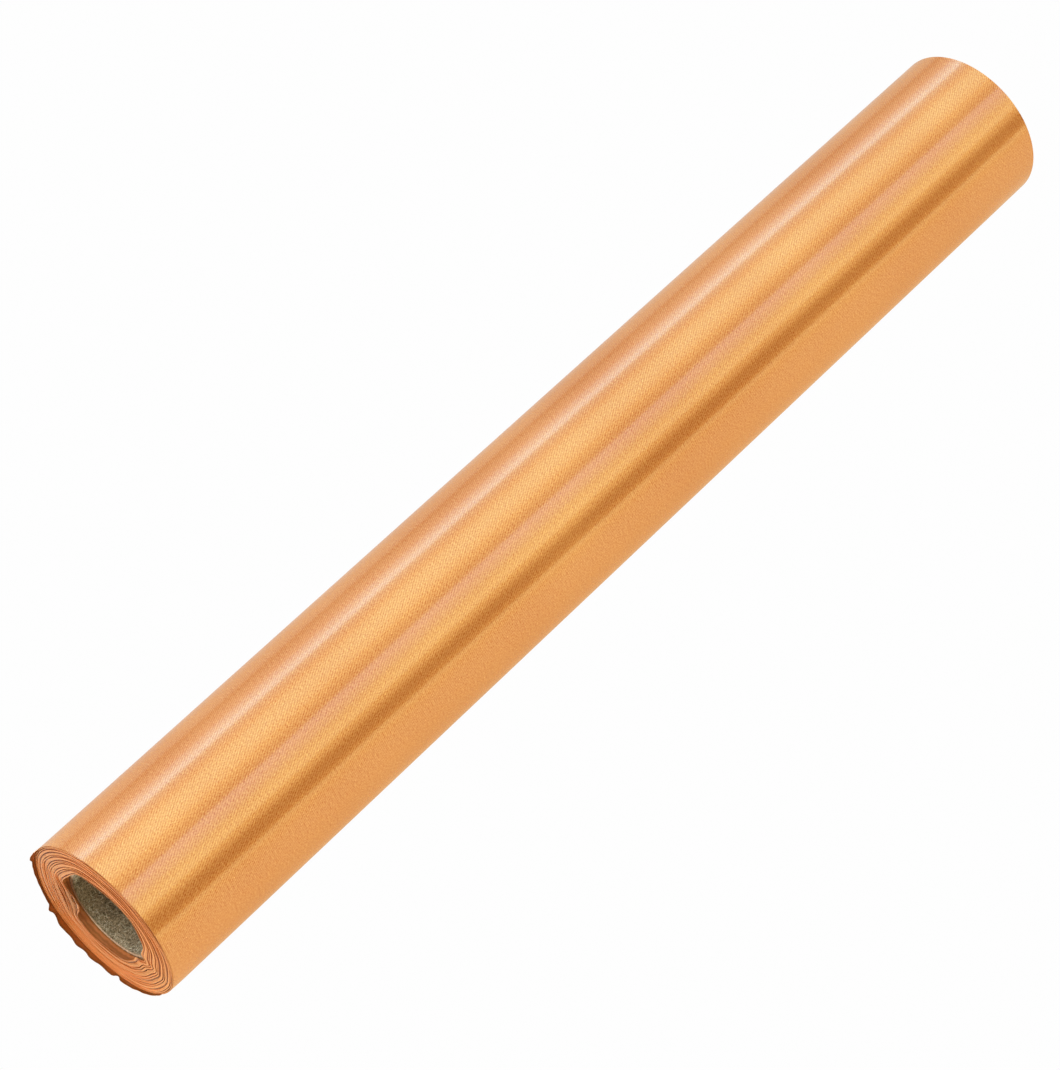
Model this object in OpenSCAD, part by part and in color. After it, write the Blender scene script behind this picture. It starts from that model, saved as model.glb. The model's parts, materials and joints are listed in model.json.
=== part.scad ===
/* [Cloth] */
// Width of the satin, which is the length of the roll
cloth_w = 360; // [200:10:500]
// Outside diameter of the wound satin
roll_d = 48.5; // [44:0.5:80]
// Thickness of one ply of satin
ply_t = 0.15; // [0.10:0.05:0.30]
// Depth of the slack turns that lie next to the core
slack_turns_t = 1.6; // [1.0:0.1:2.0]
// How far the last ply stands out past the near end
edge_overhang = 1.5; // [0.5:0.5:4]
// Half the angle of the flat on which the roll lies
flat_half_angle = 8; // [4:1:12]

/* [Core] */
// Inside diameter of the cardboard core
core_id = 26; // [20:1:30]
// Thickness of the wall of the core, four plies of chipboard
core_wall = 1.6; // [1.0:0.2:2.8]
// How far the core sits back from each end of the cloth
core_recess = 2.5; // [1:0.5:6]

/* [Free end] */
// Angle from the line where the last ply leaves the roll to its cut edge
tail_angle = 35; // [20:5:60]
// Slack left under the free end
tail_slack = 0.10; // [0.05:0.05:0.30]
// Slit between neighbouring strips of the free end, as an angle
strip_slit = 0.15; // [0.05:0.05:0.30]

/* [Tapes] */
// Thickness of the adhesive strip that holds the first turn to the core
start_tape_t = 0.10; // [0.05:0.05:0.20]
// Width of that strip
start_tape_w = 12; // [6:1:19]
// Thickness of the clear tabs that close the roll
tab_t = 0.06; // [0.04:0.02:0.10]
// Width of each tab, along the roll
tab_w = 18; // [10:1:30]
// How far each tab reaches past the cut edge onto the roll
tab_reach = 6.5; // [3:0.5:10]
// Distance of each tab from the middle of the roll
tab_spread = 85; // [30:5:85]

/* [Hidden] */

$fn = 180;
satin = [0.90, 0.62, 0.35];
satin_shade = [0.84, 0.55, 0.32];
satin_tail = [0.95, 0.70, 0.42];
chipboard = [0.55, 0.50, 0.42];
chipboard_pale = [0.66, 0.61, 0.52];
adhesive = [0.86, 0.84, 0.72];
clear_film = [0.85, 0.90, 0.92, 0.6];

core_plies = 4;
ply_wall = core_wall / core_plies;
core_or = core_id / 2 + core_wall;
core_len = cloth_w - 2 * core_recess;
roll_r = roll_d / 2;
slack_r = core_or + slack_turns_t;
wound_r = roll_r - ply_t;
// Height of the flat below the axis
flat_drop = roll_r * cos(flat_half_angle);

// Angles are taken about the axis, from +X towards +Z
underside = 270;
peel_angle = underside + flat_half_angle;
cut_angle = peel_angle + tail_angle;
tail_strips = 4;
strip_angle = tail_angle / tail_strips;
// The last ply stands out at the near end from here to the cut edge
overhang_from = 155;
start_tape_mid = 20;
start_tape_angle = start_tape_w / core_or * 180 / PI;
tab_angle = tab_reach / roll_r * 180 / PI;
reach = 2 * roll_d;

// A round bar along Y, from y = -near to y = far
module bar(r, near, far) {
    translate([0, far, 0]) rotate([90, 0, 0]) cylinder(r = r, h = near + far);
}

// A tube along Y
module tube(inner_r, outer_r, near, far) {
    difference() {
        bar(outer_r, near, far);
        bar(inner_r, near + 1, far + 1);
    }
}

// The wedge between two angles less than 180 degrees apart
module wedge(from, to, near, far) {
    translate([0, far, 0])
        rotate([90, 0, 0])
            linear_extrude(height = near + far)
                polygon([
                    [0, 0],
                    reach * [cos(from), sin(from)],
                    reach * [cos((from + to) / 2), sin((from + to) / 2)],
                    reach * [cos(to), sin(to)]
                ]);
}

// A piece of a tube between two angles
module curved_strip(inner_r, outer_r, from, to, near, far) {
    intersection() {
        tube(inner_r, outer_r, near, far);
        wedge(from, to, near + 2, far + 2);
    }
}

// Everything lower than a given distance below the axis
module below(drop) {
    translate([-reach, -cloth_w, -drop - reach]) cube([2 * reach, 2 * cloth_w, reach]);
}

// A round bar along Y that is pressed flat underneath
module lying_bar(r, drop, near, far) {
    difference() {
        bar(r, near, far);
        below(drop);
    }
}

module core_ply(i) {
    inner_r = core_id / 2 + i * ply_wall;
    tube(inner_r, inner_r + ply_wall, core_len / 2, core_len / 2);
}

module core_inner_liner() {
    color(chipboard_pale) core_ply(0);
}

module core_second_ply() {
    color(chipboard) core_ply(1);
}

module core_third_ply() {
    color(chipboard) core_ply(2);
}

module core_outer_wrap() {
    color(chipboard_pale) core_ply(3);
}

// The strip of double-sided tape, laid along the core
module start_tape_body() {
    curved_strip(
        core_or, core_or + start_tape_t,
        start_tape_mid - start_tape_angle / 2, start_tape_mid + start_tape_angle / 2,
        core_len / 2, core_len / 2
    );
}

module start_tape() {
    color(adhesive) start_tape_body();
}

// The first turns, which lie slack round the core
module cloth_slack_turns() {
    color(satin_shade)
        difference() {
            tube(core_or, slack_r, cloth_w / 2, cloth_w / 2);
            start_tape_body();
        }
}

// The tight turns, with room left under the free end
module cloth_main_winding() {
    color(satin)
        difference() {
            lying_bar(wound_r, flat_drop - ply_t, cloth_w / 2, cloth_w / 2);
            bar(slack_r, cloth_w, cloth_w);
            curved_strip(
                wound_r - tail_slack, roll_r, peel_angle, cut_angle, cloth_w, cloth_w
            );
        }
}

// The last whole turn, from the cut edge round to the line where the free end begins
module cloth_outer_turn() {
    near = cloth_w / 2 + edge_overhang;
    color(satin)
        difference() {
            lying_bar(roll_r, flat_drop, near, cloth_w / 2);
            lying_bar(wound_r, flat_drop - ply_t, near + 1, cloth_w / 2 + 1);
            wedge(peel_angle, cut_angle, cloth_w, cloth_w);
            // The near edge is flush from the cut edge up over the top
            intersection() {
                bar(reach / 2, near + 1, -cloth_w / 2);
                union() {
                    wedge(cut_angle - 360, 60, cloth_w, cloth_w);
                    wedge(60, overhang_from, cloth_w, cloth_w);
                }
            }
        }
}

// One strip of the free end, which bends along the line it starts from
module tail_strip(i) {
    from = peel_angle + (i - 1) * strip_angle;
    color(satin_tail)
        curved_strip(
            wound_r, roll_r, from + strip_slit, from + strip_angle,
            cloth_w / 2 + edge_overhang, cloth_w / 2
        );
}

module tail_strip_1() {
    tail_strip(1);
}

module tail_strip_2() {
    tail_strip(2);
}

module tail_strip_3() {
    tail_strip(3);
}

module tail_strip_4() {
    tail_strip(4);
}

// Two clear tabs, stuck over the cut edge
module closing_tabs() {
    color(clear_film)
        for (side = [-1, 1])
            translate([0, side * tab_spread, 0])
                curved_strip(
                    roll_r, roll_r + tab_t,
                    cut_angle - strip_angle + 2 * strip_slit, cut_angle + tab_angle,
                    tab_w / 2, tab_w / 2
                );
}

core_inner_liner();
core_second_ply();
core_third_ply();
core_outer_wrap();
start_tape();
cloth_slack_turns();
cloth_main_winding();
cloth_outer_turn();
tail_strip_1();
tail_strip_2();
tail_strip_3();
tail_strip_4();
closing_tabs();
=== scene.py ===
"""A roll of copper-coloured satin on a cardboard core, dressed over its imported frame.

The satin is one web of cloth, wound in a single spiral from the core out to the cut edge. Each
stretch of it is its own piece, because the last stretch, the free end, unrolls.
"""

import json
import logging
import math
from collections.abc import Sequence
from dataclasses import dataclass, field
from enum import Enum

import bmesh
import bpy
import numpy as np
from mathutils import Matrix, Vector


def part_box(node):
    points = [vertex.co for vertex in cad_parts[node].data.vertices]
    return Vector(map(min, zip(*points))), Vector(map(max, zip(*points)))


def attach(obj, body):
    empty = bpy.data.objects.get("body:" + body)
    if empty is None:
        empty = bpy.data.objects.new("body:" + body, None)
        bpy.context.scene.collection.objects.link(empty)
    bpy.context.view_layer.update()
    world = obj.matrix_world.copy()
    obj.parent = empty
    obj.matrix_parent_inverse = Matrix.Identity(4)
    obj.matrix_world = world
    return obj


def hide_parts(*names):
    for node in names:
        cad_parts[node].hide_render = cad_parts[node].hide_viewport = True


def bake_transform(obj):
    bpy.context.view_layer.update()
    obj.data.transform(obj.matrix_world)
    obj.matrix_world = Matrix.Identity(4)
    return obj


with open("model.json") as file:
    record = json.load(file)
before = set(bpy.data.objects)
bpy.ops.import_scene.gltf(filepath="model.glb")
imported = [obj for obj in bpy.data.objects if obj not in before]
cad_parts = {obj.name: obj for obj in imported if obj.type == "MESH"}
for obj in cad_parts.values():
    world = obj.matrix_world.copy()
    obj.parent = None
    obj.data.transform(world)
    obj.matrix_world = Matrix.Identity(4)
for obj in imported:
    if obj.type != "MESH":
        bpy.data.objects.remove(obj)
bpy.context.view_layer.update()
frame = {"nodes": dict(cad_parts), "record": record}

log = logging.getLogger("satin_roll")
MM = 0.001
SHARP_ANGLE = math.radians(48)


class End(Enum):
    """The two ends of the roll, as the sign of their place along Y."""

    NEAR = -1
    FAR = 1


# ---------------------------------------------------------------- node arithmetic


@dataclass(frozen=True)
class Wire:
    """A node's output that takes part in sums, in a geometry or a shader tree."""

    tree: bpy.types.NodeTree
    socket: bpy.types.NodeSocket

    def sum(self, operation: str, *others: "Wire | float") -> "Wire":
        """Adds a Math node.

        Args:
            operation: the Math node's operation.
            others: the second and third values.

        Returns:
            The node's result.
        """
        node = self.tree.nodes.new("ShaderNodeMath")
        node.operation = operation
        for slot, value in zip(node.inputs, (self, *others)):
            if isinstance(value, Wire):
                self.tree.links.new(value.socket, slot)
            else:
                slot.default_value = value
        return Wire(self.tree, node.outputs[0])

    def __add__(self, other: "Wire | float") -> "Wire":
        """Self plus other."""
        return self.sum("ADD", other)

    def __sub__(self, other: "Wire | float") -> "Wire":
        """Self minus other."""
        return self.sum("SUBTRACT", other)

    def __mul__(self, other: "Wire | float") -> "Wire":
        """Self times other."""
        return self.sum("MULTIPLY", other)

    def __truediv__(self, other: "Wire | float") -> "Wire":
        """Self over other."""
        return self.sum("DIVIDE", other)

    def between(self, low: float, high: float) -> "Wire":
        """Rises smoothly from 0 at low to 1 at high.

        Args:
            low: where the rise begins.
            high: where the rise ends.

        Returns:
            The smooth step.
        """
        node = self.tree.nodes.new("ShaderNodeMapRange")
        node.interpolation_type = "SMOOTHSTEP"
        node.inputs["From Min"].default_value = low
        node.inputs["From Max"].default_value = high
        self.tree.links.new(self.socket, node.inputs["Value"])
        return Wire(self.tree, node.outputs["Result"])


@dataclass
class Tree:
    """A thin wrapper that makes a node tree read like a recipe."""

    tree: bpy.types.NodeTree

    def node(self, kind: str, /, **settings: object) -> bpy.types.Node:
        """Adds a node.

        Args:
            kind: the node's type.
            settings: inputs by name, with spaces as underscores, or the node's own properties.

        Returns:
            The new node.
        """
        made = self.tree.nodes.new(kind)
        for key, value in settings.items():
            if hasattr(made, key):
                setattr(made, key, value)
        for key, value in settings.items():
            name = key.replace("_", " ")
            if name in made.inputs and not hasattr(made, key):
                self.feed(value, made.inputs[name])
        return made

    def feed(self, value: object, slot: bpy.types.NodeSocket) -> None:
        """Links a wire or a socket to an input, or sets the input to a plain value."""
        if isinstance(value, Wire):
            self.tree.links.new(value.socket, slot)
        elif isinstance(value, bpy.types.NodeSocket):
            self.tree.links.new(value, slot)
        else:
            slot.default_value = value

    def wire(self, node: bpy.types.Node, output: str | int = 0) -> Wire:
        """The named output of a node, ready for sums."""
        return Wire(self.tree, node.outputs[output])

    def noise(self, place: object, scale: float, detail: float, roughness: float = 0.5) -> Wire:
        """Adds a noise texture.

        Args:
            place: the coordinates it reads.
            scale: how many lumps there are in a metre.
            detail: how many finer layers it has.
            roughness: how strong the finer layers are.

        Returns:
            The noise, from 0 to 1.
        """
        texture = self.node("ShaderNodeTexNoise", Vector=place, Scale=scale, Detail=detail,
                            Roughness=roughness)
        return self.wire(texture, "Fac")

    def attribute(self, name: str) -> Wire:
        """The value of a vertex attribute."""
        return self.wire(self.node("ShaderNodeAttribute", attribute_name=name), "Fac")

    def point(self, *parts: object) -> bpy.types.NodeSocket:
        """Joins up to three values into a vector.

        Args:
            parts: wires or numbers.

        Returns:
            The vector.
        """
        node = self.node("ShaderNodeCombineXYZ")
        for value, slot in zip(parts, node.inputs):
            self.feed(value, slot)
        return node.outputs[0]

    def mixed(self, amount: object, first: object, second: object) -> bpy.types.NodeSocket:
        """Mixes two colours.

        Args:
            amount: 0 for the first colour, 1 for the second.
            first: a colour or a socket.
            second: a colour or a socket.

        Returns:
            The mixed colour.
        """
        mix = self.node("ShaderNodeMix", data_type="RGBA")
        self.feed(amount, [s for s in mix.inputs if s.type == "VALUE"][0])
        for value, slot in zip((first, second), [s for s in mix.inputs if s.type == "RGBA"]):
            self.feed((*value, 1) if isinstance(value, tuple) else value, slot)
        return [s for s in mix.outputs if s.type == "RGBA"][0]


@dataclass
class Recipe:
    """A geometry tree with named inputs, run on a carrier mesh to give a plain mesh."""

    name: str
    numbers: tuple[str, ...]
    whole_numbers: tuple[str, ...] = ()
    tree: Tree = field(init=False)
    carrier: bpy.types.NodeSocket = field(init=False)
    given: dict[str, Wire] = field(init=False)
    inputs: dict[str, str] = field(init=False, default_factory=dict)

    def __post_init__(self) -> None:
        made = bpy.data.node_groups.new(self.name, "GeometryNodeTree")
        face = made.interface
        face.new_socket("Geometry", in_out="INPUT", socket_type="NodeSocketGeometry")
        for name in (*self.numbers, *self.whole_numbers):
            kind = "NodeSocketInt" if name in self.whole_numbers else "NodeSocketFloat"
            self.inputs[name] = face.new_socket(name, in_out="INPUT", socket_type=kind).identifier
        face.new_socket("Geometry", in_out="OUTPUT", socket_type="NodeSocketGeometry")
        self.tree = Tree(made)
        group = self.tree.node("NodeGroupInput")
        self.carrier = group.outputs["Geometry"]
        self.given = {name: self.tree.wire(group, name) for name in self.inputs}

    def finish(self, geometry: bpy.types.NodeSocket, material: bpy.types.Material) -> None:
        """Ends the tree.

        Args:
            geometry: what the tree has made.
            material: the finish it gets.
        """
        real = self.tree.node("GeometryNodeRealizeInstances", Geometry=geometry)
        dressed = self.tree.node("GeometryNodeSetMaterial", Geometry=real.outputs[0], Material=material)
        self.tree.feed(dressed.outputs[0], self.tree.node("NodeGroupOutput").inputs[0])

    def run(self, carrier: bpy.types.Mesh, values: dict[str, float]) -> bpy.types.Mesh:
        """Runs the tree once.

        Args:
            carrier: the mesh that the tree starts from.
            values: a number for each input.

        Returns:
            What the tree makes, as a plain mesh.
        """
        holder = bpy.data.objects.new(self.name, carrier)
        bpy.context.scene.collection.objects.link(holder)
        modifier = holder.modifiers.new(self.name, "NODES")
        modifier.node_group = self.tree.tree
        for name, value in values.items():
            modifier[self.inputs[name]] = int(value) if name in self.whole_numbers else float(value)
        view = bpy.context.evaluated_depsgraph_get()
        mesh = bpy.data.meshes.new_from_object(holder.evaluated_get(view))
        bpy.data.objects.remove(holder)
        return mesh


# ---------------------------------------------------------------- sizes


@dataclass(frozen=True)
class RollSizes:
    """The roll's driving sizes in metres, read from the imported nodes."""

    radius: float
    half_width: float
    flat_drop: float
    core_inner: float
    core_outer: float
    core_half: float
    hinges: tuple[float, ...]
    cut_edge: float
    turns: int = 73
    cloth: float = 0.105 * MM
    start_angle: float = math.radians(20)

    @classmethod
    def from_frame(cls) -> "RollSizes":
        """Reads the sizes from the frame.

        Returns:
            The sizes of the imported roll.
        """
        winding_low, winding_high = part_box("cloth_main_winding")
        outer_low, outer_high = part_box("cloth_outer_turn")
        liner_low, liner_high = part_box("core_inner_liner")
        wrap_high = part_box("core_outer_wrap")[1]
        joints = {j["name"]: j for j in frame["record"]["behaviour"]["joints"]}
        pivots = [joints[name]["pos_m"] for name in sorted(joints)]
        hinges = tuple(math.atan2(z, x) % math.tau for x, _, z in pivots)
        plies = len([n for n in frame["nodes"] if n.startswith("core_")])
        wall = (wrap_high[2] - liner_high[2]) * plies / (plies - 1)
        return cls(
            radius=float(outer_high[2]),
            half_width=float(winding_high[1]),
            flat_drop=float(-outer_low[2]),
            core_inner=float(wrap_high[2] - wall),
            core_outer=float(wrap_high[2]),
            core_half=float(liner_high[1]),
            hinges=hinges,
            cut_edge=hinges[-1] + (hinges[-1] - hinges[-2]),
        )

    @property
    def last_turn(self) -> float:
        """How many turns the web makes from its start to its cut edge."""
        return self.turns + (self.cut_edge - self.start_angle) / math.tau

    @property
    def first_radius(self) -> float:
        """The middle of the first ply, over the starting strip."""
        return self.core_outer + self.cloth

    @property
    def pitch(self) -> float:
        """How much the radius grows in a turn."""
        return (self.radius - self.cloth / 2 - self.first_radius) / self.last_turn

    def turn_at(self, angle: float) -> float:
        """How many turns the web has made where its last ply passes an angle."""
        return self.last_turn - (self.cut_edge - angle) / math.tau

    def on_surface(self, angle: float) -> tuple[float, float, float]:
        """The point of the roll's surface at an angle, halfway along it."""
        return (self.radius * math.cos(angle), 0.0, self.radius * math.sin(angle))


# ---------------------------------------------------------------- finishes


def shader_for(name: str) -> tuple[bpy.types.Material, Tree, bpy.types.Node]:
    """Starts a material.

    Args:
        name: the material's name.

    Returns:
        The material, its tree and its main shader.
    """
    made = bpy.data.materials.new(name)
    made.use_nodes = True
    return made, Tree(made.node_tree), made.node_tree.nodes["Principled BSDF"]


@dataclass(frozen=True)
class SatinFinish:
    """Copper satin: a lustrous face of long floats, with the twill line showing through.

    The reverse is duller. It shows inside the droop and on the last turn's standing edge. Painted shade
    darkens it on the standing edge and lines it with painted fold shade on the first turns, and painted shade
    lines fall between the bunches of plies.
    """

    half_width: float
    last_turn: float
    name: str = "copper_satin"
    colour: tuple[float, float, float] = (1.0, 0.475, 0.145)
    deep: tuple[float, float, float] = (0.56, 0.12, 0.012)
    edge: tuple[float, float, float] = (1.0, 0.7, 0.4)
    reverse: tuple[float, float, float] = (0.90, 0.37, 0.125)
    # Painted shade colours: the reverse in painted shade, for the fold lines and the standing edge; the rim
    # is the darkest painted shadow, at the standing edge
    reverse_shaded: tuple[float, float, float] = (0.46, 0.12, 0.02)
    rim: tuple[float, float, float] = (0.22, 0.07, 0.008)
    # Painted shade in the gaps between bunches of plies
    shadow: tuple[float, float, float] = (0.30, 0.05, 0.02)
    rim_shade_width: float = 0.9 * MM
    crease_shade_pitch: float = 1.5 * MM
    crease_shade_strength: float = 0.55
    gap_shade_strength: float = 0.75
    metallic: float = 0.55
    roughness: float = 0.23
    roughness_spread: float = 0.20
    reverse_roughness: float = 0.4
    anisotropy: float = 0.75
    specular: float = 0.3
    coat: float = 0.3
    coat_roughness: float = 0.14
    coat_ior: float = 2.4
    relief: float = 0.03 * MM
    twill_pitch: float = 0.60 * MM
    twill_angle: float = math.radians(29)
    float_scale: tuple[float, float, float] = (2700.0, 1500.0, 1.0)
    wander_scale: float = 700.0
    drift_scale: float = 18.0

    def material(self) -> bpy.types.Material:
        """Builds the shader.

        Returns:
            The material.
        """
        made, t, shader = shader_for(self.name)
        web = t.node("ShaderNodeUVMap", uv_map="web").outputs[0]
        split = t.node("ShaderNodeSeparateXYZ", Vector=web)
        along, across = t.wire(split, 0), t.wire(split, 1)
        wander = t.noise(web, self.wander_scale, 2.0)
        floats = t.node("ShaderNodeMapping", Vector=web, Scale=self.float_scale)
        grain = t.noise(floats.outputs[0], 1.0, 3.0, 0.7)
        # The twill line climbs across the web as it goes along it
        lean = across * math.sin(self.twill_angle) - along * math.cos(self.twill_angle)
        twill = (lean * (math.tau / self.twill_pitch) + wander * 3.2).sum("SINE") * 0.5 + 0.5
        drift = t.noise(web, self.drift_scale, 2.0) - 0.5
        depth = twill * 0.42 + grain.between(0.32, 0.68) * 0.62 + drift * 0.4
        shade = t.mixed(depth, self.deep, self.colour)
        back, turn, bunch = (t.attribute(name) for name in ("reverse", "turn", "bunch"))
        reverse = self._reverse(t, across + self.half_width, wander, turn)
        face = t.mixed(back.between(0.3, 0.9), shade, reverse)
        # Painted shade: a dark line falls in the gap between one bunch of plies and the next, except on the
        # last turn
        within = turn.between(self.last_turn - 1.4, self.last_turn - 2.2)
        line = bunch.sum("FRACT").between(0.70, 0.86) * within * self.gap_shade_strength
        t.feed(t.mixed(line, face, self.shadow), shader.inputs["Base Color"])
        spread = grain * self.roughness_spread + (self.roughness - self.roughness_spread / 2)
        t.feed(spread + back * self.reverse_roughness, shader.inputs["Roughness"])
        bump = t.node("ShaderNodeBump", Strength=0.5, Distance=self.relief, Height=twill * 0.45 + grain * 0.8)
        t.feed(bump.outputs[0], shader.inputs["Normal"])
        tangent = t.node("ShaderNodeTangent", direction_type="UV_MAP", uv_map="web")
        t.feed(tangent.outputs[0], shader.inputs["Tangent"])
        plain = {
            "Metallic": self.metallic, "Anisotropic": self.anisotropy, "Coat Weight": self.coat,
            "Coat Roughness": self.coat_roughness, "Coat IOR": self.coat_ior,
            "Specular IOR Level": self.specular, "Specular Tint": (*self.edge, 1),
        }
        for name, value in plain.items():
            shader.inputs[name].default_value = value
        return made

    def _reverse(self, t: Tree, inset: Wire, wander: Wire, turn: Wire) -> bpy.types.NodeSocket:
        """The reverse's colour, with painted fold shade on the first turns and painted shade on the last.

        Args:
            t: the shader's tree.
            inset: the distance from the web's near edge.
            wander: noise that bends the lines of painted fold shade.
            turn: the number of turns from the web's start.

        Returns:
            The colour.
        """
        # Painted shade: on the last turns the reverse is darker, and darkest at the near edge, where the
        # standing ply is in shadow
        rim = t.mixed(inset.between(0.0, self.rim_shade_width), self.rim, self.reverse_shaded)
        # Painted shade: sine lines across the first turns' reverse stand in for the shade of small folds,
        # which the shape does not have
        fold_line_shade = (inset * (math.tau / self.crease_shade_pitch) + wander * 5.0).sum("SINE") * 0.5 + 0.5
        # Painted fold shade: mixes the reverse towards its shaded colour along these lines
        folded = turn.between(2.5, 0.5) * fold_line_shade * self.crease_shade_strength
        inside = t.mixed(folded, self.reverse, self.reverse_shaded)
        return t.mixed(turn.between(self.last_turn - 2.3, self.last_turn - 0.8), inside, rim)


@dataclass(frozen=True)
class ChipboardFinish:
    """Raw recycled paper: mottled and fibrous."""

    name: str
    colour: tuple[float, float, float]
    pale: tuple[float, float, float]
    fibre: float = 0.9
    relief: float = 0.08 * MM
    roughness: float = 0.93
    fibre_scale: tuple[float, float, float] = (2600.0, 1700.0, 2600.0)
    patch_scale: float = 190.0
    speck_scale: float = 620.0

    def material(self) -> bpy.types.Material:
        """Builds the shader.

        Returns:
            The material.
        """
        made, t, shader = shader_for(self.name)
        place = t.node("ShaderNodeTexCoord").outputs["Object"]
        fibres = t.node("ShaderNodeMapping", Vector=place, Scale=self.fibre_scale)
        fine = t.noise(fibres.outputs[0], 1.0, 4.0, 0.65)
        patches = t.noise(place, self.patch_scale, 3.0)
        specks = t.wire(t.node("ShaderNodeTexVoronoi", Vector=place, Scale=self.speck_scale), "Distance")
        mix = fine * 0.95 + patches * 0.22 - specks.between(0.18, 0.02) * 0.25
        t.feed(t.mixed(mix.between(0.38, 0.86), self.colour, self.pale), shader.inputs["Base Color"])
        height = fine * self.fibre + patches * 0.4
        bump = t.node("ShaderNodeBump", Strength=0.6, Distance=self.relief, Height=height)
        t.feed(bump.outputs[0], shader.inputs["Normal"])
        shader.inputs["Roughness"].default_value = self.roughness
        return made


@dataclass(frozen=True)
class FilmFinish:
    """Thin adhesive film: clear with a soft gloss, or milky where it is double-sided."""

    name: str
    colour: tuple[float, float, float]
    alpha: float
    roughness: float
    ior: float = 1.47
    relief: float = 0.02 * MM
    smear_scale: float = 260.0

    def material(self) -> bpy.types.Material:
        """Builds the shader.

        Returns:
            The material.
        """
        made, t, shader = shader_for(self.name)
        smear = t.noise(t.node("ShaderNodeTexCoord").outputs["Object"], self.smear_scale, 3.0)
        dull = tuple(0.9 * c for c in self.colour)
        t.feed(t.mixed(smear, self.colour, dull), shader.inputs["Base Color"])
        t.feed(smear * 0.16 + self.roughness, shader.inputs["Roughness"])
        bump = t.node("ShaderNodeBump", Strength=0.25, Distance=self.relief, Height=smear)
        t.feed(bump.outputs[0], shader.inputs["Normal"])
        shader.inputs["Alpha"].default_value = self.alpha
        shader.inputs["IOR"].default_value = self.ior
        return made


# ---------------------------------------------------------------- mesh helpers


def placed(name: str, mesh: bpy.types.Mesh, material: bpy.types.Material) -> bpy.types.Object:
    """Puts a mesh into the scene at the origin, in one material.

    Args:
        name: the piece's name.
        mesh: its mesh, in the shared frame.
        material: its finish.

    Returns:
        The new object.
    """
    made = bpy.data.objects.new(name, mesh)
    bpy.context.scene.collection.objects.link(made)
    mesh.materials.clear()
    mesh.materials.append(material)
    mesh.shade_smooth()
    mesh.set_sharp_from_angle(angle=SHARP_ANGLE)
    return made


def points_of(mesh: bpy.types.Mesh) -> np.ndarray:
    """The mesh's vertices as an array with one row each."""
    flat = np.empty(len(mesh.vertices) * 3)
    mesh.vertices.foreach_get("co", flat)
    return flat.reshape(-1, 3)


def values_of(mesh: bpy.types.Mesh, name: str) -> np.ndarray:
    """A vertex attribute of numbers as an array."""
    flat = np.empty(len(mesh.vertices), np.float32)
    mesh.attributes[name].data.foreach_get("value", flat)
    return flat.astype(float)


def smooth_step(t: np.ndarray) -> np.ndarray:
    """Rises smoothly from 0 at 0 to 1 at 1, and stays there outside."""
    t = np.clip(t, 0, 1)
    return t * t * (3 - 2 * t)


def closed_mesh(name: str, points: list, faces: list, weld: float = 0.0) -> bpy.types.Mesh:
    """Makes a mesh whose faces all look outwards.

    Args:
        name: the mesh's name.
        points: its vertices.
        faces: its faces.
        weld: vertices closer than this are joined, if it is more than zero.

    Returns:
        The mesh.
    """
    mesh = bpy.data.meshes.new(name)
    mesh.from_pydata(points, [], faces)
    work = bmesh.new()
    work.from_mesh(mesh)
    if weld > 0:
        bmesh.ops.remove_doubles(work, verts=work.verts, dist=weld)
        bmesh.ops.dissolve_degenerate(work, dist=weld, edges=work.edges)
    bmesh.ops.recalc_face_normals(work, faces=work.faces)
    work.to_mesh(mesh)
    work.free()
    return mesh


@dataclass(frozen=True)
class Ripple:
    """Smooth noise of about unit height round a circle, as a sum of sine waves."""

    seed: int
    count: int
    lowest: int

    def at(self, angle: np.ndarray) -> np.ndarray:
        """Adds up the waves.

        Args:
            angle: angles in radians.

        Returns:
            The noise at each angle.
        """
        draw = np.random.default_rng(self.seed)
        phases = draw.uniform(0, math.tau, self.count)
        heights = draw.uniform(0.4, 1, self.count) / math.sqrt(self.count)
        total = np.zeros_like(angle)
        for k in range(self.count):
            total += heights[k] * np.sin((self.lowest + k) * angle + phases[k])
        return total


# ---------------------------------------------------------------- the web of satin


@dataclass(frozen=True)
class Wave:
    """A smooth line round the roll through points of (degrees, millimetres), in rising order."""

    points: tuple[tuple[float, float], ...]
    closed: bool = True

    def at(self, angle: np.ndarray) -> np.ndarray:
        """Follows the line.

        Args:
            angle: angles about the axis, in radians.

        Returns:
            The line's height at each angle, in metres.
        """
        if not self.points:
            return np.zeros_like(angle)
        steps = np.degrees(angle) % 360
        turn = np.array([p[0] for p in self.points], float)
        high = np.array([p[1] for p in self.points], float)
        if self.closed:
            turn = np.concatenate([[turn[-1] - 360], turn, [turn[0] + 360]])
            high = np.concatenate([[high[-1]], high, [high[0]]])
        k = np.clip(np.searchsorted(turn, steps, side="right") - 1, 0, len(turn) - 2)
        rise = smooth_step((steps - turn[k]) / (turn[k + 1] - turn[k]))
        inside = (steps >= turn[0]) & (steps <= turn[-1])
        return np.where(inside, high[k] + (high[k + 1] - high[k]) * rise, 0) * MM


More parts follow.
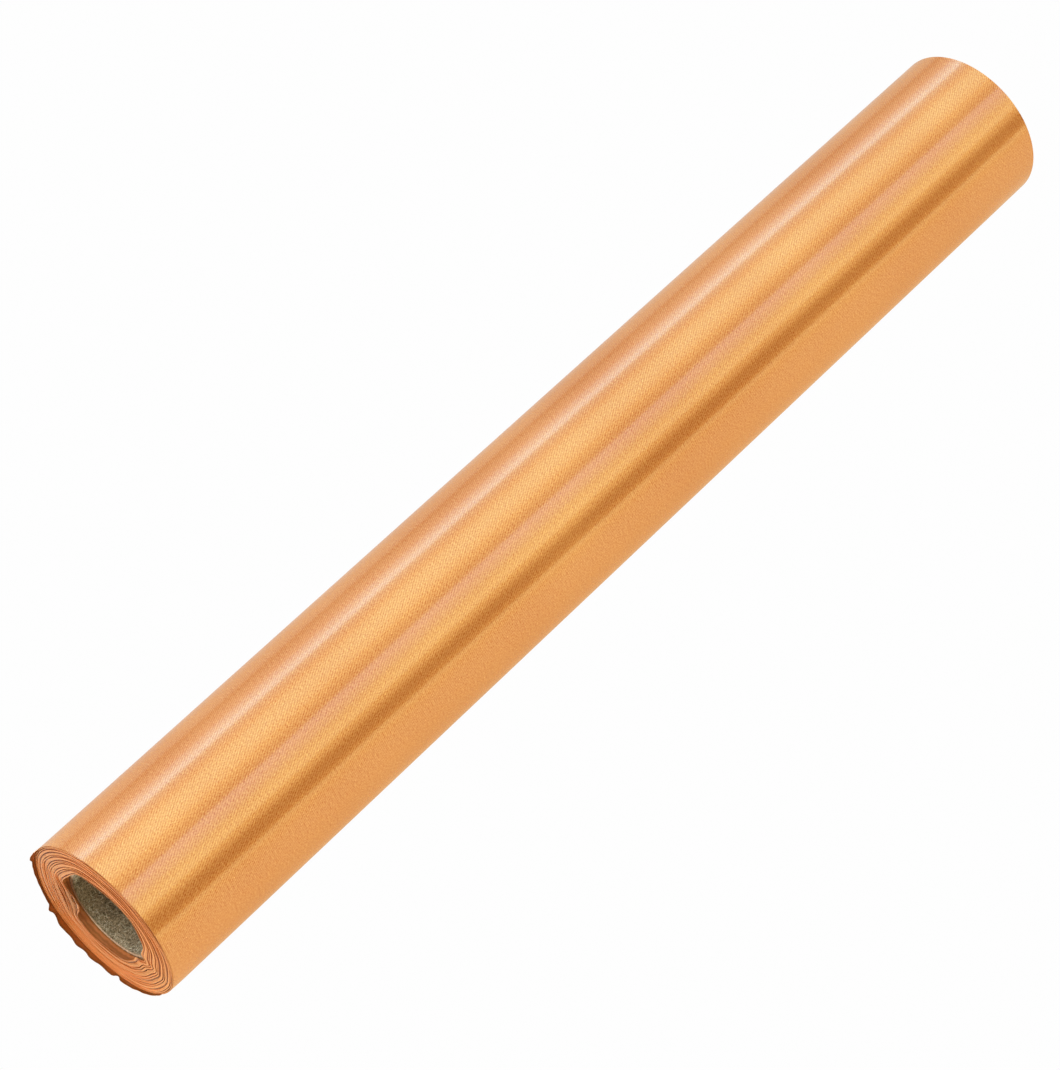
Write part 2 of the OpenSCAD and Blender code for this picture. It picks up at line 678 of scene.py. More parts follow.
@dataclass(frozen=True)
class EndShape:
    """How the plies lie at one end of the roll.

    The droop is how far the inner plies' edges bend in past the end of the core. The overhang is
    how far the last ply stands past the end.
    """

    end: End
    droop: Wave
    overhang: Wave = Wave(())
    reach: float = 2.6 * MM
    ragged: float = 0.12 * MM
    step: float = 0.17 * MM
    reach_growth: float = 0.35
    edge_zone: float = 4 * MM
    stand_zone: float = 34 * MM
    lift_zone: float = 5 * MM
    lift: float = 0.18
    most_lifted: float = 1.2 * MM
    nicks: float = 0.045

    @staticmethod
    def _zone(inset: np.ndarray, width: np.ndarray | float) -> np.ndarray:
        """Falls from 1 at the edge to 0 at a given distance from it."""
        return np.clip(1 - inset / width, 0, 1) ** 2

    def droop_at(self, angle: np.ndarray, inset: np.ndarray, deep: np.ndarray) -> np.ndarray:
        """How far a ply bends in towards the axis, by its distance from the core."""
        return self.droop.at(angle) * self._zone(inset, self.reach + self.reach_growth * deep)

    def raggedness(self, angle: np.ndarray, inset: np.ndarray, bunch: np.ndarray) -> np.ndarray:
        """How far the plies' edges wander in and out along the axis.

        Args:
            angle: angles about the axis.
            inset: distances from the edge.
            bunch: the number of the bunch that the ply lies in, and how far through it.

        Returns:
            Distances outwards along the axis.
        """
        wander = Ripple(5 + self.end.value, 7, 2).at(angle + 1.7 * np.floor(bunch)) * self.ragged
        ridge = np.sin(math.pi * (bunch % 1)) * self.step
        return self._zone(inset, self.edge_zone) * (wander + ridge)

    def wrinkle(self, angle: np.ndarray, inset: np.ndarray, bunch: np.ndarray) -> np.ndarray:
        """Fine crinkles of about unit height near the edge, different in each bunch of plies."""
        noise = Ripple(11 + self.end.value, 9, 14).at(angle + 0.9 * np.floor(bunch))
        return noise * self._zone(inset, self.edge_zone)

    def standing(
        self, angle: np.ndarray, inset: np.ndarray, last: np.ndarray
    ) -> tuple[np.ndarray, np.ndarray]:
        """How the last ply stands out past the end and lifts off the roll.

        Args:
            angle: angles about the axis.
            inset: distances from the edge.
            last: 1 on the last turn and 0 below it.

        Returns:
            Distances outwards along the axis, and away from it.
        """
        stands = self.overhang.at(angle) * last * (1 + self.nicks * Ripple(31, 12, 34).at(angle))
        ripple = Ripple(23, 9, 17).at(angle) * 0.5 + 0.5
        lifted = self._zone(inset, self.lift_zone) * ripple * np.minimum(stands, self.most_lifted) * self.lift
        return self._zone(inset, self.stand_zone) * stands, lifted


NEAR_SHAPE = EndShape(
    end=End.NEAR,
    droop=Wave((
        (20, -0.2), (52, -1.4), (86, -0.9), (110, -1.4), (144, 0.4), (162, 0.3), (182, 4.6), (194, 5.7),
        (204, 5.0), (224, 1.2), (244, 0.8), (270, 1.3), (298, 1.5), (317, 2.2), (331, 2.8), (345, 0.3),
        (353, 1.7),
    )),
    overhang=Wave((
        (150, 0), (155, 1.5), (160, 2.0), (165, 1.7), (171, 1.0), (198, 0.8), (212, 0.9), (215, 1.8),
        (219, 1.1), (229, 1.75), (236, 1.35), (243, 1.7), (250, 1.15), (254, 1.55), (262, 1.1), (272, 1.3),
        (275.5, 0.35), (279, 1.05), (288, 1.0), (296, 0.8), (303, 0.75), (313, 0.5), (320, 0.4),
    ), closed=False),
)
FAR_SHAPE = EndShape(
    end=End.FAR,
    droop=Wave((
        (20, 0.9), (70, 0.1), (120, -0.5), (170, 0.3), (215, 2.2), (250, 0.6), (290, 1.5), (330, 0.3),
    )),
    ragged=0.07 * MM,
    step=0.15 * MM,
)


@dataclass
class Web:
    """The spiral of cloth, and the geometry tree that winds a stretch of it."""

    sizes: RollSizes
    finish: bpy.types.Material
    plies_in_bunch: float = 6.0
    bunch_gap: float = 0.17 * MM
    fold_plies: float = 2.3
    fold_decay: float = 3.4 * MM
    crinkle: float = 0.035 * MM
    last_start: float = 0.02
    smooth_turns: tuple[float, float] = (1.0, 3.0)
    uneven: tuple[tuple[float, float], ...] = ((0.37, 0.25), (0.83, 0.07))
    shapes: tuple[EndShape, ...] = (NEAR_SHAPE, FAR_SHAPE)
    recipe: Recipe = field(init=False)

    def __post_init__(self) -> None:
        """Builds the geometry tree once for all the stretches."""
        numbers = ("From Turn", "To Turn", "Steps per Turn", "First Radius", "Pitch", "Start Angle",
                   "Plies in Bunch", "Bunch Gap", "Last Turn")
        self.recipe = Recipe("wind_the_web", numbers)
        self._wire_up()

    def _wire_up(self) -> None:
        """Lays out the nodes: a spiral path, and the cloth's outline swept along it."""
        t, given = self.recipe.tree, self.recipe.given
        span = given["To Turn"] - given["From Turn"]
        steps = (span * given["Steps per Turn"]).sum("CEIL") + 1.0
        path = t.node("GeometryNodeMeshLine", Count=steps)
        index = t.wire(t.node("GeometryNodeInputIndex"))
        turn = given["From Turn"] + span * (index / (steps - 1.0))
        angle = given["Start Angle"] + turn * math.tau
        # Slow waves make the bunches uneven without ever running backwards
        bunch = turn / given["Plies in Bunch"]
        for rate, height in self.uneven:
            bunch = bunch + (turn * rate).sum("SINE") * height
        place = bunch.sum("FRACT")
        saw = (place.between(0.82, 1.0) - place) * given["Bunch Gap"]
        # The bunches fade out under the last turns, which lie smooth
        fade = (given["Last Turn"] - turn).between(*self.smooth_turns)
        radius = given["First Radius"] + given["Pitch"] * turn + saw * fade
        spot = t.point(radius * angle.sum("COSINE"), radius * angle.sum("SINE"))
        line = t.node("GeometryNodeSetPosition", Geometry=path.outputs[0], Position=spot)
        for name, value in (("turn", turn), ("bunch", bunch)):
            line = t.node("GeometryNodeStoreNamedAttribute", data_type="FLOAT", domain="POINT",
                          Geometry=line.outputs[0], Name=name, Value=value)
        curve = t.node("GeometryNodeMeshToCurve", Mesh=line.outputs[0])
        level = t.node("GeometryNodeSetCurveNormal", mode="Z_UP", Curve=curve.outputs[0])
        outline = t.node("GeometryNodeMeshToCurve", Mesh=self.recipe.carrier)
        swept = t.node("GeometryNodeCurveToMesh", Curve=level.outputs[0], Profile_Curve=outline.outputs[0],
                       Fill_Caps=True)
        turned = t.node("GeometryNodeTransform", Geometry=swept.outputs[0], Rotation=(math.pi / 2, 0, 0))
        self.recipe.finish(turned.outputs[0], self.finish)

    def outline(self, rows: Sequence[float]) -> bpy.types.Mesh:
        """The cloth's cross-section: a long thin closed loop.

        Args:
            rows: places across the web, from the far edge (negative) to the near one.

        Returns:
            A mesh of edges.
        """
        half = self.sizes.cloth / 2
        loop = [(half, v, 0.0) for v in rows] + [(-half, v, 0.0) for v in reversed(rows)]
        mesh = bpy.data.meshes.new("outline")
        count = len(loop)
        mesh.from_pydata(loop, [(i, (i + 1) % count) for i in range(count)], [])
        dull = mesh.attributes.new("reverse", "FLOAT", "POINT")
        dull.data.foreach_set("value", [float(x < 0) for x, _, _ in loop])
        return mesh

    def stretch(
        self, name: str, turns: tuple[float, float], steps: float, rows: Sequence[float]
    ) -> bpy.types.Object:
        """Winds one stretch of the web.

        Args:
            name: the piece's name.
            turns: the turns at which it starts and ends.
            steps: steps in each turn.
            rows: places across the web.

        Returns:
            The stretch as a plain closed mesh.
        """
        mesh = self.recipe.run(self.outline(rows), {
            "From Turn": turns[0], "To Turn": turns[1], "Steps per Turn": steps,
            "First Radius": self.sizes.first_radius, "Pitch": self.sizes.pitch,
            "Start Angle": self.sizes.start_angle, "Plies in Bunch": self.plies_in_bunch,
            "Bunch Gap": self.bunch_gap, "Last Turn": self.sizes.last_turn,
        })
        self._lay(mesh)
        return placed(name, mesh, self.finish)

    def _lay(self, mesh: bpy.types.Mesh) -> None:
        """Lets a wound stretch settle: flat underneath, folded and ragged at its ends.

        Args:
            mesh: the stretch, which is changed in place.
        """
        s = self.sizes
        at = points_of(mesh)
        turn, bunch = (values_of(mesh, name) for name in ("turn", "bunch"))
        radius, angle = np.hypot(at[:, 0], at[:, 2]), np.arctan2(at[:, 2], at[:, 0])
        across, y = at[:, 1].copy(), at[:, 1].copy()
        deep = radius - s.core_outer
        # The inner plies fold a few at a time, and the fold dies out towards the outside
        pack = turn / self.fold_plies
        stair = (np.floor(pack) + smooth_step((pack % 1 - 0.45) / 0.55)) * self.fold_plies * s.pitch
        give = np.exp(-np.clip((stair + deep) / 2, 0, None) / self.fold_decay)
        last = smooth_step((turn - (s.last_turn - 1 - self.last_start)) / self.last_start)
        for shape in self.shapes:
            side = shape.end.value
            inset = s.half_width - side * across
            out, lifted = shape.standing(angle, inset, last)
            radius = radius - shape.droop_at(angle, inset, deep) * give
            radius = radius + shape.wrinkle(angle, inset, bunch) * self.crinkle * (1 - last) + lifted
            y = y + side * (shape.raggedness(angle, inset, bunch) * (1 - last) + out)
        sag = (s.radius - s.flat_drop) * np.clip(deep / (s.radius - s.core_outer), 0, 1)
        height = np.maximum(radius * np.sin(angle), sag - s.core_outer - deep)
        at = np.stack([radius * np.cos(angle), y, height], axis=1)
        mesh.vertices.foreach_set("co", at.ravel())
        self._spread_map(mesh, self._length_to(turn), across)
        mesh.update()

    def _length_to(self, turn: np.ndarray) -> np.ndarray:
        """The length of web wound by a given turn, in metres."""
        s = self.sizes
        return math.tau * (s.first_radius * turn + s.pitch * turn**2 / 2)

    def length(self, turns: tuple[float, float]) -> float:
        """The length of the web between two turns, in metres."""
        ends = self._length_to(np.array(turns, float))
        return float(ends[1] - ends[0])

    @staticmethod
    def _spread_map(mesh: bpy.types.Mesh, along: np.ndarray, across: np.ndarray) -> None:
        """Writes the flat web's own coordinates, in metres, as the map named web.

        Args:
            mesh: the stretch.
            along: each vertex's place along the web.
            across: each vertex's place across it.
        """
        layer = mesh.uv_layers.new(name="web")
        corner = np.empty(len(mesh.loops), np.int64)
        mesh.loops.foreach_get("vertex_index", corner)
        pairs = np.stack([along[corner], across[corner]], axis=1).astype(np.float32)
        layer.data.foreach_set("uv", pairs.ravel())


@dataclass
class WoundCloth:
    """Everything of the web that stays on the roll."""

    web: Web
    slack_turns: float = 12.0
    near_rows: tuple[float, ...] = (0, 0.5, 1, 1.6, 2.4, 3.6, 5, 8, 14)
    far_rows: tuple[float, ...] = (0, 0.8, 2, 5, 10)
    middle_rows: int = 56

    def rows(self, near: Sequence[float], far: Sequence[float], middle: int = 0) -> list[float]:
        """Places across the web, closer together at its edges.

        Args:
            near: distances from the near edge in millimetres, growing.
            far: distances from the far edge in millimetres, growing.
            middle: how many more rows lie evenly between.

        Returns:
            Places in metres. The outline's sign is the opposite of the frame's.
        """
        half = self.web.sizes.half_width
        low = [-half + d * MM for d in far]
        high = [half - d * MM for d in near][::-1]
        between = np.linspace(low[-1], high[0], middle + 2)[1:-1].tolist()
        return low + between + high

    def build(self) -> list[bpy.types.Object]:
        """Winds the three stretches and ties them to the roll.

        Returns:
            The pieces.
        """
        s = self.web.sizes
        join = s.turn_at(s.cut_edge - math.tau)
        peel = s.turn_at(s.hinges[0])
        slack_rows = self.rows((0, 0.5, 1.0, 1.5, 2.0, 2.6, 3.6, 8), (0, 0.9, 1.8, 2.8, 8))
        main_rows = self.rows((0, 0.8, 2.2, 7), (0, 1.6, 7))
        outer_rows = self.rows(self.near_rows, self.far_rows, self.middle_rows)
        plan = (
            ("satin_slack_turns", "cloth_slack_turns", (0.0, self.slack_turns), 180, slack_rows),
            ("satin_main_winding", "cloth_main_winding", (self.slack_turns, join), 96, main_rows),
            ("satin_outer_turn", "cloth_outer_turn", (join, peel), 288, outer_rows),
        )
        made = []
        for name, node, turns, steps, rows in plan:
            piece = self.web.stretch(name, turns, steps, rows)
            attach(piece, "roll")
            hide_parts(node)
            made.append(piece)
            log.info("%s: %.3f m of web", name, self.web.length(turns))
        for piece, (_, _, turns, _, _), under in zip(made, plan, ("core_outer_wrap", "satin_slack_turns")):
            flat = (2 * s.half_width, self.web.length(turns))
        return made


@dataclass
class FreeEnd:
    """The last stretch of the web, in one strip for each of its four hinge lines."""

    web: Web
    cloth: WoundCloth
    steps: float = 330

    def build(self, outer_turn: bpy.types.Object) -> list[bpy.types.Object]:
        """Makes one strip for each hinge.

        Args:
            outer_turn: the last whole turn, which the free end continues. It is not used.

        Returns:
            The strips.
        """
        s = self.web.sizes
        lines = [*s.hinges, s.cut_edge]
        rows = self.cloth.rows(self.cloth.near_rows, self.cloth.far_rows, self.cloth.middle_rows)
        made = []
        for k in range(len(s.hinges)):
            turns = (s.turn_at(lines[k]), s.turn_at(lines[k + 1]))
            strip = self.web.stretch(f"satin_tail_{k + 1}", turns, self.steps, rows)
            start, end = (s.on_surface(a) for a in (lines[k], lines[k + 1]))
            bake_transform(strip)
            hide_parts(f"tail_strip_{k + 1}")
            made.append(strip)
        turns = (s.turn_at(s.cut_edge - math.tau), s.turn_at(s.hinges[0]))
        flat = (2 * s.half_width, self.web.length(turns))
        return made


# ---------------------------------------------------------------- the cardboard core


@dataclass
class CardboardCore:
    """Four plies of paper, each a strip wound in its own spiral and glued to the next."""

    sizes: RollSizes
    paper: bpy.types.Material
    board: bpy.types.Material
    strip_width: float = 62 * MM
    seam: float = 0.35 * MM
    fray: float = 0.10 * MM
    around: int = 120
    across: int = 5
    weld: float = 1e-7

    def build(self) -> list[bpy.types.Object]:
        """Winds the plies, from the bore outwards.

        Returns:
            The pieces.
        """
        plan = (
            ("core_liner", "core_inner_liner", self.paper, 0.10),
            ("core_board_inner", "core_second_ply", self.board, 0.43),
            ("core_board_outer", "core_third_ply", self.board, 0.71),
            ("core_wrap", "core_outer_wrap", self.paper, 0.27),
        )
        wall = (self.sizes.core_outer - self.sizes.core_inner) / len(plan)
        made = []
        for k, (name, node, finish, offset) in enumerate(plan):
            inner = self.sizes.core_inner + k * wall
            mesh = self.ply(name, inner, inner + wall, offset, seed=40 + k)
            piece = placed(name, mesh, finish)
            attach(piece, "roll")
            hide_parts(node)
            made.append(piece)
            log.info("%s: strip of %.0f mm, wall %.2f mm", name, self.strip_width / MM, wall / MM)
        return made

    def ply(self, name: str, inner: float, outer: float, offset: float, seed: int) -> bpy.types.Mesh:
        """One spiral strip, cut square at both ends of the core.

        Args:
            name: the mesh's name.
            inner: the strip's inner radius.
            outer: its outer radius.
            offset: where its seam starts, as a share of the strip's pitch.
            seed: fixes the fraying of its cut ends.

        Returns:
            A closed mesh.
        """
        half, pitch = self.sizes.core_half, self.strip_width
        turns = math.ceil(2 * half / pitch) + 2
        columns = turns * self.around + 1
        u = np.linspace(0, turns, columns)
        share = np.linspace(0, 1, self.across + 1)
        gap = self.seam / pitch
        loop = [(outer, v) for v in share] + [(inner, v) for v in share[::-1]]
        rows = len(loop)
        angle = math.tau * u
        limit = half - self.fray * (0.5 + 0.5 * Ripple(seed, 24, 9).at(angle))
        grid = np.empty((columns, rows, 3))
        for j, (r, v) in enumerate(loop):
            y = -half + pitch * (u - 1 - offset + v * (1 - gap))
            grid[:, j, 0] = r * np.cos(angle)
            grid[:, j, 1] = np.clip(y, -limit, limit)
            grid[:, j, 2] = r * np.sin(angle)
        first = np.arange(columns - 1)[:, None] * rows + np.arange(rows)[None]
        ahead = np.arange(columns - 1)[:, None] * rows + (np.arange(rows) + 1)[None] % rows
        quads = np.stack([first, ahead, ahead + rows, first + rows], axis=-1).reshape(-1, 4)
        return closed_mesh(name, grid.reshape(-1, 3).tolist(), quads.tolist(), self.weld)


@dataclass(frozen=True)
class FibrePatch:
    """Where loose paper fibres lie on the wall of the bore."""

    name: str
    count: int
    first: float
    last: float
    depth: float
    length: float
    lift: float
    thickness: float
    seed: int


@dataclass
class PaperFibres:
    """The fuzz of the raw liner: short fibres on its wall, and a tuft at the torn rim."""

    sizes: RollSizes
    finish: bpy.types.Material
    patches: tuple[FibrePatch, ...] = (
        FibrePatch("wall_fibres", 1500, 0.0, 360.0, 22 * MM, 1.2 * MM, 0.06 * MM, 0.10 * MM, 3),
        FibrePatch("rim_tuft", 60, 158.0, 172.0, 2.4 * MM, 1.7 * MM, 0.40 * MM, 0.16 * MM, 8),
    )
    bow: float = 2.0
    skew: float = 0.22
    smallest: float = 0.45
    setback: float = 0.6 * MM
    recipe: Recipe = field(init=False)

    def __post_init__(self) -> None:
        """Builds the geometry tree once for all the patches."""
        numbers = ("First Angle", "Last Angle", "Radius", "End", "Depth", "Length", "Lift", "Thickness")
        self.recipe = Recipe("strew_fibres", numbers, ("Count", "Seed"))
        self._wire_up()

    def _chance(self, low: object, high: object, stream: float) -> Wire:
        """A random number for each point.

        Args:
            low: the lowest value.
            high: the highest value.
            stream: keeps one use apart from another.

        Returns:
            The number.
        """
        t = self.recipe.tree
        node = t.node("FunctionNodeRandomValue", data_type="FLOAT")
        floats = [s for s in node.inputs if s.type == "VALUE"]
        t.feed(low, floats[0])
        t.feed(high, floats[1])
        t.feed(self.recipe.given["Seed"] + stream, node.inputs["Seed"])
        return Wire(t.tree, [s for s in node.outputs if s.type == "VALUE"][0])

    def _wire_up(self) -> None:
        """Lays out the nodes: points on the wall, a bent fibre on each."""
        t, given = self.recipe.tree, self.recipe.given
        angle = self._chance(given["First Angle"], given["Last Angle"], 0.0)
        deep = self._chance(0.0, 1.0, 20.0)
        spot = t.point(given["Radius"] * angle.sum("COSINE"), given["End"] + deep * deep * given["Depth"],
                       given["Radius"] * angle.sum("SINE"))
        points = t.node("GeometryNodeMeshLine", Count=given["Count"])
        moved = t.node("GeometryNodeSetPosition", Geometry=points.outputs[0], Position=spot)
        long, lift = given["Length"], given["Lift"]
        bend = t.node("GeometryNodeCurveQuadraticBezier", Resolution=6,
                      Start=t.point(0.0, long * -0.5, 0.0), End=t.point(0.0, long * 0.5, 0.0),
                      Middle=t.point(lift * -self.bow, 0.0, long * self.skew))
        ring = t.node("GeometryNodeCurvePrimitiveCircle", Resolution=4, Radius=given["Thickness"] * 0.5)
        fibre = t.node("GeometryNodeCurveToMesh", Curve=bend.outputs[0], Profile_Curve=ring.outputs[0],
                       Fill_Caps=True)
        turned = t.point(self._chance(0.0, math.tau, 40.0), angle * -1.0)
        strewn = t.node("GeometryNodeInstanceOnPoints", Points=moved.outputs[0], Instance=fibre.outputs[0],
                        Rotation=turned, Scale=self._chance(self.smallest, 1.0, 60.0))
        self.recipe.finish(strewn.outputs[0], self.finish)

    def build(self) -> list[bpy.types.Object]:
        """Strews each patch and ties it to the roll."""
        return [self.strew(patch) for patch in self.patches]

    def strew(self, patch: FibrePatch) -> bpy.types.Object:
        """Makes one patch of fibres.

        Args:
            patch: where the fibres lie and how long they are.

        Returns:
            The piece.
        """
        mesh = self.recipe.run(bpy.data.meshes.new("points"), {
            "First Angle": math.radians(patch.first), "Last Angle": math.radians(patch.last),
            "Radius": self.sizes.core_inner - patch.thickness / 4, "End": self.setback - self.sizes.core_half,
            "Depth": patch.depth, "Length": patch.length, "Lift": patch.lift,
            "Thickness": patch.thickness, "Count": patch.count, "Seed": patch.seed,
        })
        piece = placed(patch.name, mesh, self.finish)
        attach(piece, "roll")
        log.info("%s: %d fibres", piece.name, patch.count)
        return piece


# ---------------------------------------------------------------- tapes


@dataclass
class Tapes:
    """The adhesive strip under the first turn, and the clear tabs over the cut edge."""

    sizes: RollSizes
    strip: bpy.types.Material
    film: bpy.types.Material
    teeth: int = 12
    tooth: float = 0.35 * MM
    width: float = 18 * MM
    thickness: float = 0.05 * MM
    clearance: float = 0.01 * MM
    margin: float = math.radians(0.4)
    columns: int = 20

    def build(self) -> list[bpy.types.Object]:
        """Dresses the hidden strip and makes the tabs.

        Returns:
            The new pieces.
        """
        hidden = frame["nodes"]["start_tape"]
        hidden.data.materials.clear()
        hidden.data.materials.append(self.strip)
        piece = placed("clear_tabs", self.tabs(*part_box("closing_tabs")), self.film)
        start, end = (self.sizes.on_surface(a) for a in (self.sizes.hinges[-1], self.sizes.cut_edge))
        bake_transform(piece)
        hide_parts("closing_tabs")
        log.info("clear_tabs: two tabs over the cut edge")
        return [piece]

    def tabs(self, low: Vector, high: Vector) -> bpy.types.Mesh:
        """Both tabs, with the toothed ends of tape torn from a dispenser.

        Args:
            low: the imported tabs' lowest corner.
            high: their highest corner.

        Returns:
            A mesh of two closed films.
        """
        s = self.sizes
        first = s.hinges[-1] + self.margin
        last = math.atan2(high[2], math.sqrt(max(s.radius**2 - high[2] ** 2, 0))) % math.tau
        base = s.radius + self.clearance
        rows = self.teeth * 2 + 1
        share = np.linspace(0, 1, self.columns + 1)[:, None]
        notch = self.tooth * (np.arange(rows) % 2) / s.radius
        angle = first + notch + (last - first - 2 * notch) * share
        step = self.width * (np.arange(rows) / (rows - 1) - 0.5)
        points, faces = [], []
        for centre in (float(low[1]) + self.width / 2, float(high[1]) - self.width / 2):
            spot = np.arange(2 * angle.size).reshape(2, *angle.shape) + len(points)
            for r in (base, base + self.thickness):
                y = np.broadcast_to(centre + step, angle.shape)
                film = np.stack([r * np.cos(angle), y, r * np.sin(angle)], axis=-1)
                points += film.reshape(-1, 3).tolist()
            for under in spot:
                around = (under[:-1, :-1], under[:-1, 1:], under[1:, 1:], under[1:, :-1])
                faces += np.stack(around, axis=-1).reshape(-1, 4).tolist()
            rim = [np.concatenate([f[:-1, 0], f[-1, :-1], f[:0:-1, -1], f[0, :0:-1]]) for f in spot]
            walls = (rim[0], np.roll(rim[0], -1), np.roll(rim[1], -1), rim[1])
            faces += np.stack(walls, axis=-1).tolist()
        return closed_mesh("clear_tabs", points, faces)


# ---------------------------------------------------------------- the studio


def facing(right: Vector, up: Vector, back: Vector, at: Vector) -> Matrix:
    """A placement from the directions of its X, Y and Z axes and its place."""
    return Matrix.Translation(at) @ Matrix((right, up, back)).transposed().to_4x4()


def hang(data: bpy.types.Light | bpy.types.Camera, placement: Matrix) -> bpy.types.Object:
    """Puts a light or a camera into the scene.

    Args:
        data: the light or the camera.
        placement: where it is and how it is turned.

    Returns:
        The new object.
    """
    made = bpy.data.objects.new(data.name, data)
    bpy.context.scene.collection.objects.link(made)
    made.matrix_world = placement
    return made


@dataclass(frozen=True)
class StripLight:
    """A long soft light that lies along the roll, seen from it as an arc of sky."""

    name: str
    height: float
    power: float
    colour: tuple[float, float, float]
    arc: float = 9.0
    distance: float = 1.1
    length: float = 2.6
    shift: float = 0.25

    def place(self) -> bpy.types.Object:
        """Hangs the light at its angle about the roll's axis.

        Returns:
            The light.
        """
        data = bpy.data.lights.new(self.name, "AREA")
        data.shape, data.size, data.size_y = "RECTANGLE", self.distance * math.radians(self.arc), self.length
        data.energy, data.color = self.power, self.colour
        angle = math.radians(self.height)
        back = Vector((math.cos(angle), 0, math.sin(angle)))
        along = Vector((0, 1, 0))
        at = back * self.distance + along * self.shift
        return hang(data, facing(along.cross(back), along, back, at))


@dataclass(frozen=True)
class FillLight:
    """A small soft light that looks at the near end."""

    name: str
    at: tuple[float, float, float]
    size: float
    power: float
    colour: tuple[float, float, float]

    def place(self, target: Vector) -> bpy.types.Object:
        """Hangs the light and turns it.

        Args:
            target: the point that it looks at.

        Returns:
            The light.
        """
        data = bpy.data.lights.new(self.name, "AREA")
        data.shape, data.size, data.energy, data.color = "DISK", self.size, self.power, self.colour
        turn = (target - Vector(self.at)).to_track_quat("-Z", "Y")
        return hang(data, Matrix.Translation(self.at) @ turn.to_matrix().to_4x4())


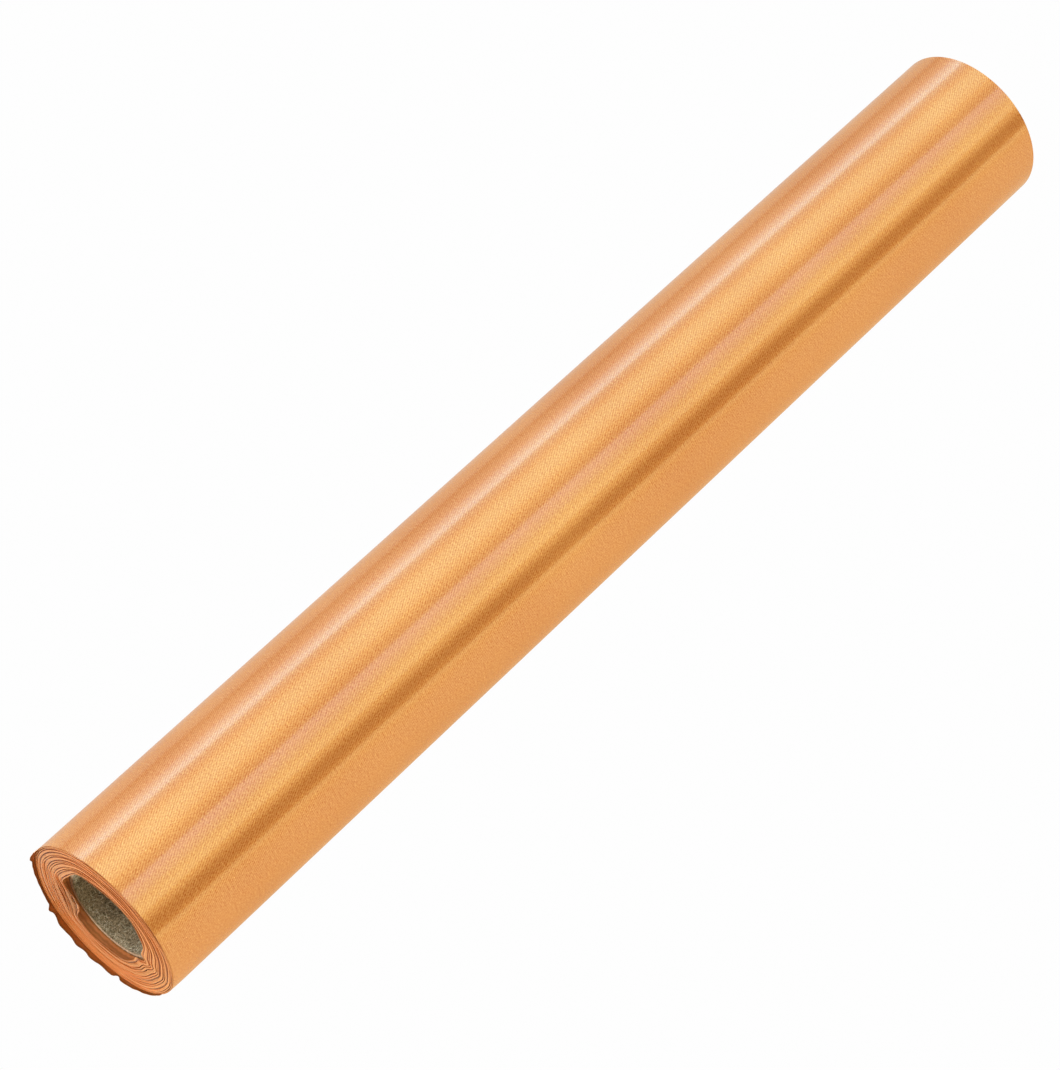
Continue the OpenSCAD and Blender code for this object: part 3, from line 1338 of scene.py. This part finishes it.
@dataclass
class Studio:
    """A pale table, soft lights and the camera."""

    sizes: RollSizes
    azimuth: float = 40.76
    elevation: float = 52.63
    distance: float = 0.9567
    aim: tuple[float, float, float] = (-2.3 * MM, -15.0 * MM, -7.5 * MM)
    lens: float = 118.3
    sensor: float = 36.0
    table_half: float = 3.0
    table_grey: float = 0.35
    table_roughness: float = 0.9
    clip: tuple[float, float] = (0.01, 50.0)
    white: tuple[float, float, float] = (0.99, 0.99, 0.99)
    room: tuple[float, float, float] = (0.16, 0.02, 0.02)
    glow: tuple[float, float, float] = (0.64, 0.59, 0.37)
    glow_behind: tuple[float, float, float] = (0.43, 0.43, 0.40)
    lights: tuple[StripLight, ...] = (
        StripLight("front_horizon", 4, 2.22, (0.83, 1, 0.6), arc=8),
        StripLight("front_dark", 15, 0.19, (1, 0.16, 0.05)),
        StripLight("front_low", 33, 1.20, (1, 0.98, 0.54)),
        StripLight("front_key", 42, 2.93, (0.7, 1, 0.7)),
        StripLight("front_soft", 51, 1.76, (0.71, 1, 0.83)),
        StripLight("front_cool", 60, 2.06, (0.57, 0.83, 1)),
        StripLight("front_blush", 69, 2.86, (0.54, 0.7, 1)),
        StripLight("front_gap", 78, 0.43, (0.97, 1, 0.91)),
        StripLight("top_soft", 87, 1.56, (0.93, 1, 0.67)),
        StripLight("top_warm", 96, 2.27, (0.69, 1, 0.87)),
        StripLight("top_key", 105, 2.46, (0.62, 1, 0.98)),
        StripLight("top_cool", 114, 2.41, (0.63, 1, 0.91)),
        StripLight("top_fade", 123, 1.35, (0.97, 1, 0.91)),
        StripLight("back_gap", 132, 1.34, (0.46, 0.6, 1)),
        StripLight("back_blush", 141, 5.95, (0.33, 0.67, 1)),
        StripLight("back_cool", 150, 3.07, (0.37, 0.6, 1)),
        StripLight("back_soft", 159, 1.18, (0.85, 0.84, 1)),
        StripLight("back_low", 168, 0.98, (0.87, 1, 0.95)),
        StripLight("back_horizon", 177, 0.46, (1, 0.7, 0.85)),
    )
    fills: tuple[FillLight, ...] = (
        FillLight("bore_fill", (-0.45, -1.00, 0.62), 0.30, 5.2, (1.0, 0.95, 0.88)),
        FillLight("end_fill", (-0.10, -1.00, 0.10), 0.50, 3.7, (0.80, 0.94, 1.0)),
    )

    def build(self) -> None:
        """Sets the table, the lights, the surroundings and the camera."""
        self._camera()
        self._table()
        self._surroundings()
        for light in self.lights:
            light.place()
        near_end = Vector((0, End.NEAR.value * self.sizes.half_width, 0))
        for fill in self.fills:
            fill.place(near_end)

    def _camera(self) -> None:
        """Places the camera on its azimuth and elevation."""
        data = bpy.data.cameras.new("camera")
        data.lens, data.sensor_width, data.sensor_fit = self.lens, self.sensor, "AUTO"
        data.clip_start, data.clip_end = self.clip
        a, e = math.radians(self.azimuth), math.radians(self.elevation)
        back = Vector((math.sin(a) * math.cos(e), -math.cos(a) * math.cos(e), math.sin(e)))
        right = Vector((math.cos(a), math.sin(a), 0))
        at = Vector(self.aim) + back * self.distance
        bpy.context.scene.camera = hang(data, facing(right, back.cross(right), back, at))

    def _table(self) -> None:
        """A wide pale table top that the roll lies on."""
        half, low = self.table_half, -self.sizes.flat_drop
        mesh = bpy.data.meshes.new("table_top")
        corners = [(-half, -half, low), (half, -half, low), (half, half, low), (-half, half, low)]
        mesh.from_pydata(corners, [], [(0, 1, 2, 3)])
        top = bpy.data.objects.new("table_top", mesh)
        finish, t, shader = shader_for("pale_table")
        shader.inputs["Base Color"].default_value = (self.table_grey, self.table_grey, self.table_grey, 1)
        shader.inputs["Roughness"].default_value = self.table_roughness
        # The table glows with painted light that stands in for bounced light, brighter in front of the roll
        # than behind it
        spot = t.node("ShaderNodeSeparateXYZ", Vector=t.node("ShaderNodeTexCoord").outputs["Object"])
        front = t.wire(spot, 0).between(-self.sizes.radius, self.sizes.radius)
        t.feed(t.mixed(front, self.glow_behind, self.glow), shader.inputs["Emission Color"])
        shader.inputs["Emission Strength"].default_value = 1.0
        paper = t.node("ShaderNodeEmission")
        paper.inputs["Color"].default_value = (*self.white, 1)
        either = t.node("ShaderNodeMixShader")
        seen = t.node("ShaderNodeLightPath").outputs["Is Camera Ray"]
        for value, slot in zip((seen, shader.outputs[0], paper.outputs[0]), either.inputs):
            t.feed(value, slot)
        t.feed(either.outputs[0], finish.node_tree.nodes["Material Output"].inputs["Surface"])
        mesh.materials.append(finish)
        bpy.context.scene.collection.objects.link(top)

    def _surroundings(self) -> None:
        """A dim room that looks white to the camera."""
        world = bpy.data.worlds.new("studio")
        bpy.context.scene.world = world
        world.use_nodes = True
        t = Tree(world.node_tree)
        seen = t.node("ShaderNodeLightPath").outputs["Is Camera Ray"]
        t.feed(t.mixed(seen, self.room, self.white), world.node_tree.nodes["Background"].inputs["Color"])


# ---------------------------------------------------------------- the whole roll


def main() -> None:
    """Builds the roll piece by piece and reports each one."""
    logging.basicConfig(level=logging.INFO, format="%(name)s: %(message)s")
    bpy.context.scene.view_settings.view_transform = "Standard"
    sizes = RollSizes.from_frame()
    log.info("radius %.2f mm, %.2f turns", sizes.radius / MM, sizes.last_turn)
    Studio(sizes).build()
    satin = SatinFinish(sizes.half_width, sizes.last_turn).material()
    liner = ChipboardFinish("grey_liner_paper", (0.09, 0.065, 0.03), (0.62, 0.47, 0.29)).material()
    board = ChipboardFinish("grey_chipboard", (0.42, 0.30, 0.17), (0.85, 0.68, 0.48)).material()
    fluff = ChipboardFinish("paper_fibre", (0.50, 0.42, 0.27), (0.95, 0.86, 0.66)).material()
    adhesive = FilmFinish("milky_adhesive", (0.80, 0.76, 0.60), 1.0, 0.5).material()
    film = FilmFinish("clear_film", (0.95, 0.96, 0.97), 0.16, 0.12).material()
    web = Web(sizes, satin)
    cloth = WoundCloth(web)
    pieces = cloth.build()
    pieces += FreeEnd(web, cloth).build(pieces[-1])
    pieces += CardboardCore(sizes, liner, board).build()
    pieces += PaperFibres(sizes, fluff).build()
    pieces += Tapes(sizes, adhesive, film).build()
    for piece in pieces:
        log.info("%s: %d faces", piece.name, len(piece.data.polygons))


if __name__ == "__main__":
    main()
